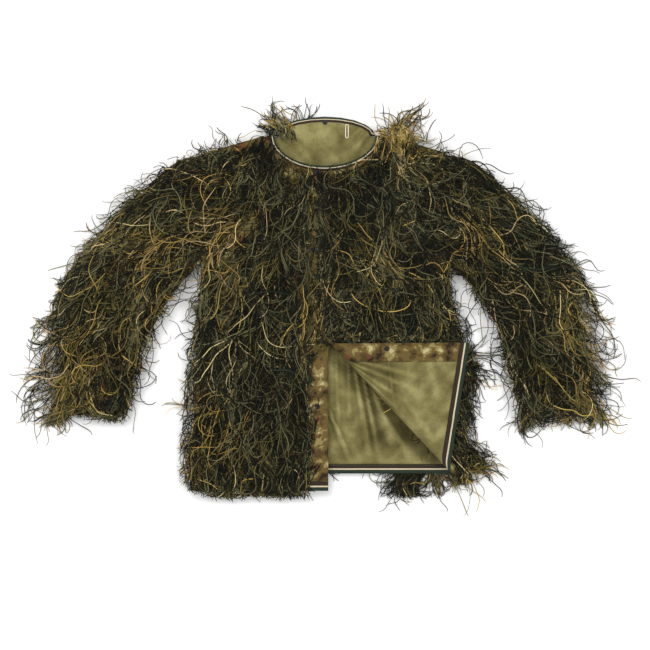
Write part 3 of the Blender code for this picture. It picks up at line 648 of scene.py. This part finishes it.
weave, weave_in, weave_out = node_group(
    "plain_weave", [("Position", "NodeSocketVector", None), ("Threads", "NodeSocketFloat", 900.0)],
    [("Height", "NodeSocketFloat"), ("Shade", "NodeSocketFloat")])
weave_split = weave.nodes.new("ShaderNodeSeparateXYZ")
weave.links.new(weave_in.outputs["Position"], weave_split.inputs[0])
threads = [math_node(weave, "SINE", math_node(weave, "MULTIPLY", weave_split.outputs[axis], math_node(
    weave, "MULTIPLY", weave_in.outputs["Threads"], 6.283))) for axis in (0, 1)]
crossing = math_node(weave, "MULTIPLY", *threads)
weave.links.new(crossing, weave_out.inputs["Height"])
slub = weave.nodes.new("ShaderNodeTexNoise")
slub.inputs["Scale"].default_value = 260
weave.links.new(weave_in.outputs["Position"], slub.inputs["Vector"])
slub_shade = math_node(weave, "ADD", math_node(weave, "MULTIPLY", slub.outputs[0], 0.5), 0.75)
weave.links.new(slub_shade, weave_out.inputs["Shade"])


def mixed(group, amount, first, second, blend="MIX"):
    made = group.nodes.new("ShaderNodeMix")
    made.data_type = "RGBA"
    made.blend_type = blend
    for socket, value in ((made.inputs[0], amount), (made.inputs[6], first), (made.inputs[7], second)):
        if hasattr(value, "links"):
            group.links.new(value, socket)
        else:
            socket.default_value = value
    return made.outputs[2]


def cloth_material(name, roughness=0.85):
    """A cloth with the shared weave: gives the material, its tree, the place on the cloth and the shader."""
    made = bpy.data.materials.new(name)
    made.use_nodes = True
    tree = made.node_tree
    shader = tree.nodes["Principled BSDF"]
    shader.inputs["Roughness"].default_value = roughness
    shader.inputs["Specular IOR Level"].default_value = 0.25
    place = tree.nodes.new("ShaderNodeTexCoord").outputs["Object"]
    threads = tree.nodes.new("ShaderNodeGroup")
    threads.node_tree = weave
    tree.links.new(place, threads.inputs["Position"])
    bump = tree.nodes.new("ShaderNodeBump")
    bump.inputs["Strength"].default_value = 0.35
    bump.inputs["Distance"].default_value = 0.0006
    tree.links.new(threads.outputs["Height"], bump.inputs["Height"])
    tree.links.new(bump.outputs[0], shader.inputs["Normal"])
    return made, tree, place, threads.outputs["Shade"], shader


def noise_of(tree, place, scale, detail=3.0):
    made = tree.nodes.new("ShaderNodeTexNoise")
    made.inputs["Scale"].default_value = scale
    made.inputs["Detail"].default_value = detail
    tree.links.new(place, made.inputs["Vector"])
    return made.outputs[0]


def ramp_of(tree, value, stops, constant=False):
    made = tree.nodes.new("ShaderNodeValToRGB")
    made.color_ramp.interpolation = "CONSTANT" if constant else "LINEAR"
    while len(made.color_ramp.elements) < len(stops):
        made.color_ramp.elements.new(0.5)
    for element, (position, colour) in zip(made.color_ramp.elements, stops):
        element.position = position
        element.color = (*colour, 1)
    tree.links.new(value, made.inputs[0])
    return made.outputs[0]


khaki, tree, place, shade, shader = cloth_material("khaki_lining")
# Painted shade darkens the lining in the valleys beside its folds, and a painted highlight lightens the fold
# tops.
painted_fold_shading = tree.nodes.new("ShaderNodeAttribute")
painted_fold_shading.attribute_name = "painted_fold_shading"
fold_shading_tint = ramp_of(tree, painted_fold_shading.outputs["Fac"], (
    (0.0, (0.34, 0.32, 0.25)), (0.5, (1, 1, 1)), (1.0, (1.12, 1.12, 1.08))))
stain = ramp_of(tree, noise_of(tree, place, 26, 5), (
    (0.3, srgb(92, 85, 46)), (0.5, srgb(123, 115, 69)), (0.72, srgb(152, 144, 96))))
worn = mixed(tree, 1.0, stain, shade, "MULTIPLY")
tree.links.new(mixed(tree, 1.0, worn, fold_shading_tint, "MULTIPLY"), shader.inputs["Base Color"])

camouflage, tree, place, shade, shader = cloth_material("camouflage_cloth")
squares = tree.nodes.new("ShaderNodeVectorMath")
squares.operation = "SNAP"
squares.inputs[1].default_value = (0.0026, 0.0026, 10)
tree.links.new(place, squares.inputs[0])
light_patch = ramp_of(tree, noise_of(tree, squares.outputs[0], 40, 6), (
    (0.0, srgb(42, 31, 18)), (0.38, srgb(76, 60, 28)), (0.46, srgb(98, 80, 40)), (0.56, srgb(136, 122, 76)),
    (0.65, srgb(176, 166, 116))), True)
rust_where = ramp_of(tree, noise_of(tree, squares.outputs[0], 24, 3), (
    (0.0, (0, 0, 0)), (0.66, (1, 1, 1))), True)
camo_colour = mixed(tree, rust_where, light_patch, (*srgb(98, 60, 36), 1))
tree.links.new(mixed(tree, 1.0, camo_colour, shade, "MULTIPLY"), shader.inputs["Base Color"])

tape, tree, place, shade, shader = cloth_material("striped_binding", 0.75)
across = tree.nodes.new("ShaderNodeAttribute")
across.attribute_name = "across"
stripes = ramp_of(tree, across.outputs["Fac"], (
    (0.0, srgb(44, 34, 26)), (0.46, srgb(196, 182, 150)), (0.62, srgb(32, 46, 34))), True)
tree.links.new(mixed(tree, 1.0, stripes, shade, "MULTIPLY"), shader.inputs["Base Color"])

enamel = bpy.data.materials.new("black_enamel")
enamel.use_nodes = True
enamel_shader = enamel.node_tree.nodes["Principled BSDF"]
enamel_shader.inputs["Roughness"].default_value = 0.42
enamel_shader.inputs["Specular IOR Level"].default_value = 0.3
enamel_place = enamel.node_tree.nodes.new("ShaderNodeTexCoord").outputs["Object"]
enamel_colour = ramp_of(enamel.node_tree, noise_of(enamel.node_tree, enamel_place, 900), (
    (0.3, srgb(10, 10, 10)), (0.75, srgb(26, 25, 24))))
enamel.node_tree.links.new(enamel_colour, enamel_shader.inputs["Base Color"])

cord_cloth, tree, place, shade, shader = cloth_material("cream_cord")
cream = ramp_of(tree, noise_of(tree, place, 700), ((0.3, srgb(190, 178, 140)), (0.7, srgb(232, 224, 196))))
tree.links.new(cream, shader.inputs["Base Color"])

finishes = dict(
    yarn=dyed_yarn, camouflage=camouflage, lining=khaki, binding=tape, seam_tape=camouflage, snap=enamel,
    cord=cord_cloth)
for node in nodes.values():
    for slot in node.material_slots:
        slot.material = finishes.get(slot.material.name.split(".")[0] if slot.material else "", slot.material)


# ---------------------------------------------------------------- Sheets of cloth
def flat_outline(node):
    """The loops round the top of a flat node, as points joined by edges."""
    shell = bmesh.new()
    shell.from_mesh(nodes[node].data)
    bmesh.ops.remove_doubles(shell, verts=shell.verts, dist=1e-6)
    shell.normal_update()
    top = {face for face in shell.faces if face.normal.z > 0.9}
    rim = [edge for edge in shell.edges if sum(face in top for face in edge.link_faces) == 1]
    points, lines, number = [], [], {}
    for edge in rim:
        ends = []
        for vert in edge.verts:
            if vert.index not in number:
                number[vert.index] = len(points)
                points.append(Vector(vert.co[:2]))
            ends.append(number[vert.index])
        lines.append(ends)
    shell.free()
    return points, lines


def sheet_over(name, node, spacing, height, thick, material, across_from=None, width=1.0):
    """A sheet with a flat node's outline, at the height that a function gives, with a real thickness."""
    points, lines = flat_outline(node)
    dense, joined = list(points), []
    for a, b in lines:
        parts = max(1, round((points[b] - points[a]).length / spacing))
        last = a
        for k in range(1, parts):
            dense.append(points[a].lerp(points[b], k / parts))
            joined.append((last, len(dense) - 1))
            last = len(dense) - 1
        joined.append((last, b))
    near = KDTree(len(dense))
    for number, point in enumerate(dense):
        near.insert((*point, 0), number)
    near.balance()
    low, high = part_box(node)
    inner = []
    for row, y in enumerate(np.arange(low[1], high[1], spacing * 0.87)):
        for x in np.arange(low[0] + (row % 2) * spacing / 2, high[0], spacing):
            if near.find((x, y, 0))[2] > 0.6 * spacing:
                inner.append(Vector((x, y)))
    verts, _, faces, *_ = delaunay_2d_cdt(dense + inner, joined, [], 1, 1e-7)
    flat = np.array([tuple(v) for v in verts])
    z = height(flat[:, 0], flat[:, 1])
    piece = object_from(name, np.column_stack([flat, z]).tolist(), [], faces)
    shell = bmesh.new()
    shell.from_mesh(piece.data)
    bmesh.ops.delete(shell, geom=[v for v in shell.verts if not v.link_faces], context="VERTS")
    for face in shell.faces:
        face.smooth = True
        if face.normal.z < 0:
            face.normal_flip()
    shell.to_mesh(piece.data)
    shell.free()
    if across_from is not None:
        across = [across_from.find((v.co.x, v.co.y, 0))[2] / width for v in piece.data.vertices]
        piece.data.attributes.new("across", "FLOAT", "POINT").data.foreach_set("value", across)
    wall = piece.modifiers.new("thickness", "SOLIDIFY")
    wall.thickness = thick
    wall.offset = 0
    piece.data.materials.append(material)
    area = sum(polygon.area for polygon in piece.data.polygons)
    return piece, area


def edge_of(*panels, spacing=0.0015):
    """The densely sampled outline of some panels, to measure how far across their binding a point is."""
    spots = []
    for panel in panels:
        points, lines = flat_outline(panel)
        for a, b in lines:
            parts = max(1, round((points[b] - points[a]).length / spacing))
            spots += [points[a].lerp(points[b], k / parts) for k in range(parts)]
    tree = KDTree(len(spots))
    for number, spot in enumerate(spots):
        tree.insert((*spot, 0), number)
    tree.balance()
    return tree


def ridges(x, y, folds):
    """Soft folds: each runs from one point to another, so high and so wide, fading at its far end."""
    z = np.zeros(np.shape(x))
    for ax, ay, bx, by, tall, wide in folds:
        length = math.hypot(bx - ax, by - ay)
        along = ((x - ax) * (bx - ax) + (y - ay) * (by - ay)) / length ** 2
        side = ((x - ax) * (by - ay) - (y - ay) * (bx - ax)) / length
        spread_out = wide * (0.55 + 0.9 * np.clip(along, 0, 1))
        fade_in, fade_out = smooth_step(along, -0.08, 0.12), 1 - smooth_step(along, 0.6, 1.08)
        z += tall * np.exp(-(side / spread_out) ** 2) * fade_in * fade_out
    return z


def paint_fold_shading(piece, flat, folds, painted_shadow=0.0):
    """Stores how far each point is up a fold or down beside it, for painted shade in the valleys and a
    painted highlight on the fold tops. The extra amount is painted shadow.
    """
    x, y = flat[:, 0], flat[:, 1]
    tops = ridges(x, y, folds)
    wide = ridges(x, y, [(*fold[:4], fold[4], fold[5] * 2.4) for fold in folds])
    value = 0.5 + (tops - 0.62 * wide) * 110 - painted_shadow
    fold_shading_values = piece.data.attributes.new("painted_fold_shading", "FLOAT", "POINT")
    fold_shading_values.data.foreach_set("value", np.clip(value, 0, 1).astype(np.float32))


low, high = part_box("back_lining")
BACK_LEVEL = (low[2] + high[2]) / 2
BACK_FOLDS = (
    (0.024, -0.10, 0.030, -0.300, 0.0040, 0.0035), (0.050, -0.10, 0.052, -0.26, 0.0045, 0.0035),
    (0.062, -0.12, 0.100, -0.350, 0.0075, 0.0055), (0.080, -0.14, 0.116, -0.320, 0.0085, 0.0045),
    (0.100, -0.17, 0.165, -0.350, 0.0060, 0.0100), (0.006, -0.215, 0.060, -0.345, 0.0080, 0.0045),
    (0.120, -0.22, 0.200, -0.350, 0.0050, 0.0080), (-0.080, 0.375, -0.030, 0.310, 0.0035, 0.0050),
    (0.095, 0.375, 0.050, 0.320, 0.0045, 0.0050), (0.080, 0.385, 0.020, 0.330, 0.0030, 0.0040),
)


def back_height(x, y):
    """The back lining lies flat, with folds where it shows and a slight crumple over its lower half."""
    crumple = 0.0012 * (1 + ripple(31, 0.05, x, y)) * smooth_step(-np.abs(y + 0.18), -0.19, -0.12)
    return BACK_LEVEL + ridges(x, y, BACK_FOLDS) + crumple


lining, area = sheet_over("back_lining_cloth", "back_lining", 0.005, back_height, 0.0007, khaki)
spots = np.array([tuple(v.co) for v in lining.data.vertices])
# Painted shadow: the back lining is darkened along the fold line, where the turned-over corner's shadow
# falls.
across_fold = (spots[:, 0] + 0.005) * 0.7314 + (spots[:, 1] + 0.078) * 0.682
painted_flap_shadow = smooth_step(-np.abs(across_fold), -0.03, 0.0) * 0.35
paint_fold_shading(lining, spots, BACK_FOLDS, painted_flap_shadow)
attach(lining, "jacket")
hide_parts("back_lining")
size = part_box("back_lining")


# The left front and its turned-over corner are one cloth, rolled softly over the fold. The lining is outside.
fold = joints["corner_fold"]
FOLD_AT = np.array(fold["pos_m"])
FOLD_RUN = np.array(fold["axis"])
FOLD_OUT = np.array((-FOLD_RUN[1], FOLD_RUN[0]))
ROLL_EDGE = 0.0235


def rolled(x, y, level, folds=(), crumple=0.0, seed=41):
    """Wraps a flat sheet's edge along the fold a quarter turn round it, and adds its folds elsewhere."""
    away = (x - FOLD_AT[0]) * FOLD_OUT[0] + (y - FOLD_AT[1]) * FOLD_OUT[1]
    turn = np.clip((ROLL_EDGE - away) / ROLL_EDGE, 0, 1.0) * math.pi / 2
    reach = level - FOLD_AT[2]
    shift = np.where(turn > 0, ROLL_EDGE - abs(reach) * np.sin(turn) - away, 0)
    raised = ridges(x, y, folds) + crumple * (1 + ripple(seed, 0.06, x, y)) * smooth_step(away, 0.02, 0.06)
    z = FOLD_AT[2] + reach * np.cos(turn) + raised * np.cos(turn)
    return x + shift * FOLD_OUT[0], y + shift * FOLD_OUT[1], z


FLAP_FOLDS = (
    (0.040, -0.098, 0.165, -0.118, 0.0045, 0.0034), (0.044, -0.108, 0.205, -0.150, 0.0060, 0.0042),
    (0.052, -0.118, 0.195, -0.178, 0.0062, 0.0040), (0.060, -0.130, 0.180, -0.205, 0.0056, 0.0040),
    (0.075, -0.148, 0.165, -0.230, 0.0042, 0.0036), (0.132, -0.100, 0.148, -0.215, 0.0038, 0.0026),
    (0.300, -0.115, 0.205, -0.225, 0.0040, 0.0110), (0.290, -0.215, 0.215, -0.300, 0.0045, 0.0080),
    (0.215, -0.105, 0.250, -0.210, 0.0034, 0.0090), (0.165, -0.190, 0.240, -0.300, 0.0034, 0.0070),
)
folded = {}
for node, finish, slot, flap, spacing, thick in (
    ("corner_lining", khaki, "lining", True, 0.0035, 0.0007),
    ("corner_facing", camouflage, "camouflage", True, 0.005, 0.0007),
    ("corner_shell", camouflage, "camouflage", True, 0.006, 0.0009),
    ("corner_hem_binding", tape, "binding", True, 0.004, 0.0015),
    ("left_front_lining", khaki, "lining", False, 0.012, 0.0007),
    ("left_front_shell", camouflage, "camouflage", False, 0.012, 0.0009),
    ("left_front_facing", camouflage, "camouflage", False, 0.008, 0.0007),
):
    low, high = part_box(node)
    level = (low[2] + high[2]) / 2
    panel = edge_of("corner_lining", "corner_facing") if node == "corner_hem_binding" else None
    piece, area = sheet_over(node + "_cloth", node, spacing, lambda x, y: level + 0 * x, thick, finish,
                             panel, 0.020)
    flat = np.array([tuple(v.co) for v in piece.data.vertices])
    folds = FLAP_FOLDS if flap and node != "corner_shell" else ()
    x, y, z = rolled(flat[:, 0], flat[:, 1], level, folds, 0.0008 if folds else 0.0)
    # The linings get painted shade in their fold valleys and a painted highlight on their fold tops.
    if finish is khaki:
        paint_fold_shading(piece, flat, folds)
    piece.data.vertices.foreach_set("co", np.column_stack([x, y, z]).ravel())
    piece.data.update()
    folded[node] = (piece, area, low, high)
    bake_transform(piece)
    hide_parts(node)
for node, (piece, area, low, high) in folded.items():
    if node != "corner_hem_binding":
        wide, tall = high[0] - low[0], high[1] - low[1]

# The placket is the right front's edge, camouflage cloth doubled over a stiff strip, with a stitched border.
low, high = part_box("right_front_placket")
level = (low[2] + high[2]) / 2
placket, area = sheet_over("placket_cloth", "right_front_placket", 0.006,
                           lambda x, y: level + 0.0006 * ripple(51, 0.05, x, y), 0.0009, camouflage)
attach(placket, "jacket")
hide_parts("right_front_placket")

# Striped tape binds the neck and the hems: brown on the cloth, a cream stripe, and green round the edge.
for node, panel, wide in (
    ("back_neck_binding", "back_lining", 0.011), ("right_neck_binding", "right_front_shell", 0.011),
    ("left_neck_binding", "left_front_shell", 0.011), ("back_hem_binding", "back_lining", 0.020),
    ("right_hem_binding", "right_front_shell", 0.020),
):
    low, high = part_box(node)
    level = (low[2] + high[2]) / 2
    tape_piece, area = sheet_over(node + "_tape", node, 0.004,
                                  lambda x, y: level + 0.0004 * ripple(61, 0.03, x, y), 0.0016,
                                  tape, edge_of(panel), wide)
    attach(tape_piece, "jacket")
    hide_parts(node)


# ---------------------------------------------------------------- Stitches
# Lockstitch in khaki thread holds the facing, the placket and the tapes down. A seam line is resampled,
# and one short thread is put at each point, along the seam.
STITCH_PITCH = 0.0045
STITCH_LENGTH = 0.003
THREAD_RADIUS = 0.0004
stitch_tree = bpy.data.node_groups.new("lockstitches", "GeometryNodeTree")
stitch_sockets = {}
for name, way, kind, start in (
    ("Seam", "INPUT", "Geometry", None), ("Pitch", "INPUT", "Float", STITCH_PITCH),
    ("Thread radius", "INPUT", "Float", THREAD_RADIUS), ("Material", "INPUT", "Material", None),
    ("Stitches", "OUTPUT", "Geometry", None),
):
    socket = stitch_tree.interface.new_socket(name, in_out=way, socket_type="NodeSocket" + kind)
    if start is not None:
        socket.default_value = start
    stitch_sockets[name] = socket.identifier
seam_in = stitch_tree.nodes.new("NodeGroupInput")
seam_out = stitch_tree.nodes.new("NodeGroupOutput")
seam_curve = stitch_tree.nodes.new("GeometryNodeMeshToCurve")
spaced = stitch_tree.nodes.new("GeometryNodeResampleCurve")
spaced.mode = "LENGTH"
tangent = stitch_tree.nodes.new("GeometryNodeInputTangent")
aligned = stitch_tree.nodes.new("FunctionNodeAlignEulerToVector")
aligned.axis = "Z"
placed = stitch_tree.nodes.new("GeometryNodeInstanceOnPoints")
one_stitch = stitch_tree.nodes.new("GeometryNodeMeshCylinder")
one_stitch.inputs["Vertices"].default_value = 5
one_stitch.inputs["Depth"].default_value = STITCH_LENGTH
solid = stitch_tree.nodes.new("GeometryNodeRealizeInstances")
threaded = stitch_tree.nodes.new("GeometryNodeSetMaterial")
for source, target in (
    (seam_in.outputs["Seam"], seam_curve.inputs["Mesh"]), (seam_curve.outputs[0], spaced.inputs["Curve"]),
    (seam_in.outputs["Pitch"], spaced.inputs["Length"]), (spaced.outputs[0], placed.inputs["Points"]),
    (tangent.outputs[0], aligned.inputs["Vector"]), (aligned.outputs[0], placed.inputs["Rotation"]),
    (seam_in.outputs["Thread radius"], one_stitch.inputs["Radius"]),
    (one_stitch.outputs["Mesh"], placed.inputs["Instance"]),
    (placed.outputs[0], solid.inputs[0]), (solid.outputs[0], threaded.inputs["Geometry"]),
    (seam_in.outputs["Material"], threaded.inputs["Material"]),
    (threaded.outputs[0], seam_out.inputs["Stitches"]),
):
    stitch_tree.links.new(source, target)

thread = bpy.data.materials.new("khaki_thread")
thread.use_nodes = True
thread_shader = thread.node_tree.nodes["Principled BSDF"]
thread_shader.inputs["Roughness"].default_value = 0.7
thread_place = thread.node_tree.nodes.new("ShaderNodeTexCoord").outputs["Object"]
thread_colour = ramp_of(thread.node_tree, noise_of(thread.node_tree, thread_place, 1400), (
    (0.35, srgb(74, 66, 40)), (0.7, srgb(128, 118, 76))))
thread.node_tree.links.new(thread_colour, thread_shader.inputs["Base Color"])


def stitched(name, spots, body):
    """Sews a row of stitches along some points, and puts it on its body."""
    line = object_from(name + "_line", spots, [(k, k + 1) for k in range(len(spots) - 1)])
    modifier = line.modifiers.new("stitches", "NODES")
    modifier.node_group = stitch_tree
    modifier[stitch_sockets["Pitch"]] = STITCH_PITCH
    modifier[stitch_sockets["Thread radius"]] = THREAD_RADIUS
    modifier[stitch_sockets["Material"]] = thread
    mesh = bpy.data.meshes.new_from_object(line.evaluated_get(bpy.context.evaluated_depsgraph_get()))
    bpy.data.objects.remove(line)
    mesh.name = name
    row = bpy.data.objects.new(name, mesh)
    bpy.context.collection.objects.link(row)
    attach(row, body)


def straight(a, b, count=60):
    share = np.linspace(0, 1, count)
    return a[0] + (b[0] - a[0]) * share, a[1] + (b[1] - a[1]) * share


# The rows run along the facing's edge, down both sides of the placket, and along the hem that shows.
low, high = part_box("corner_facing")
x, y = straight((low[0] + 0.045, low[1] + 0.0025), (high[0] - 0.006, low[1] + 0.0025))
x, y, z = rolled(x, y, (low[2] + high[2]) / 2, FLAP_FOLDS, 0.0008)
stitched("facing_stitches", np.column_stack([x, y, z + 0.0006]).tolist(), "turned_corner")
low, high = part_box("right_front_placket")
for name, at in (("placket_edge_stitches", high[0] - 0.003), ("placket_inner_stitches", low[0] + 0.004)):
    x, y = straight((at, low[1] + 0.022), (at, -0.085))
    z = (low[2] + high[2]) / 2 + 0.0006 * ripple(51, 0.05, x, y) + 0.0007
    stitched(name, np.column_stack([x, y, z]).tolist(), "jacket")
low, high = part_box("back_hem_binding")
x, y = straight((0.012, high[1] - 0.002), (0.235, high[1] - 0.002))
stitched("hem_stitches", np.column_stack([x, y, 0 * x + high[2] + 0.0003]).tolist(), "jacket")
